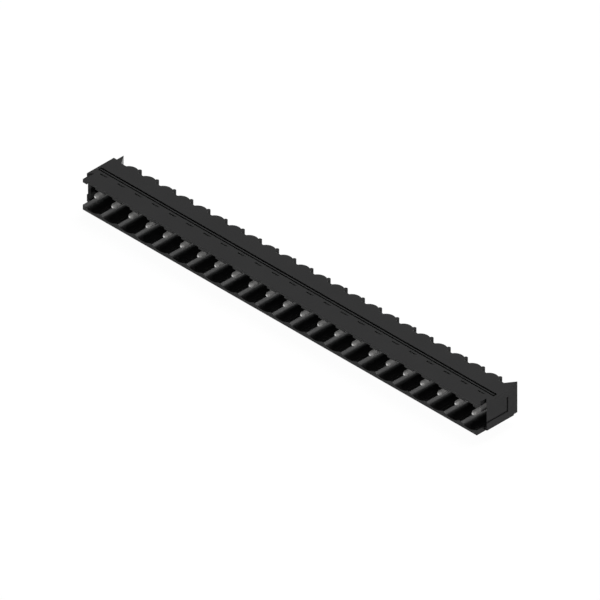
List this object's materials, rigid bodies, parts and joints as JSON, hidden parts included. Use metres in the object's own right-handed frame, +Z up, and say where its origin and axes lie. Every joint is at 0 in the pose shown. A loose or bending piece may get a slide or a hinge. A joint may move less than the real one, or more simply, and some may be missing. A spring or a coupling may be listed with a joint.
{
  "type": "right-angle board header",
  "caption": "Long black right-angle header for a circuit board: an open-fronted pocket with scooped floor and slotted roof around a row of bent tin-plated contact pins.",
  "frame": {"origin": "middle of the row of solder tails, in the plane of the housing's bottom face (the board's surface)", "axes": "+X along the row of pins, +Y to the back (away from the pocket's mouth), +Z up from the board"},
  "size_m": [0.1184, 0.0124, 0.0101],
  "materials": {
    "housing_plastic": "fine-textured black moulding",
    "tinned_pin": "tin plated, satin"
  },
  "bodies": {
    "root": {"housing": "housing_plastic", "pin_01": "tinned_pin", "pin_02": "tinned_pin", "pin_03": "tinned_pin", "pin_04": "tinned_pin", "pin_05": "tinned_pin", "pin_06": "tinned_pin", "pin_07": "tinned_pin", "pin_08": "tinned_pin", "pin_09": "tinned_pin", "pin_10": "tinned_pin", "pin_11": "tinned_pin", "pin_12": "tinned_pin", "pin_13": "tinned_pin", "pin_14": "tinned_pin", "pin_15": "tinned_pin", "pin_16": "tinned_pin", "pin_17": "tinned_pin", "pin_18": "tinned_pin", "pin_19": "tinned_pin", "pin_20": "tinned_pin", "pin_21": "tinned_pin", "pin_22": "tinned_pin", "pin_23": "tinned_pin"}
  },
  "joints": []
}
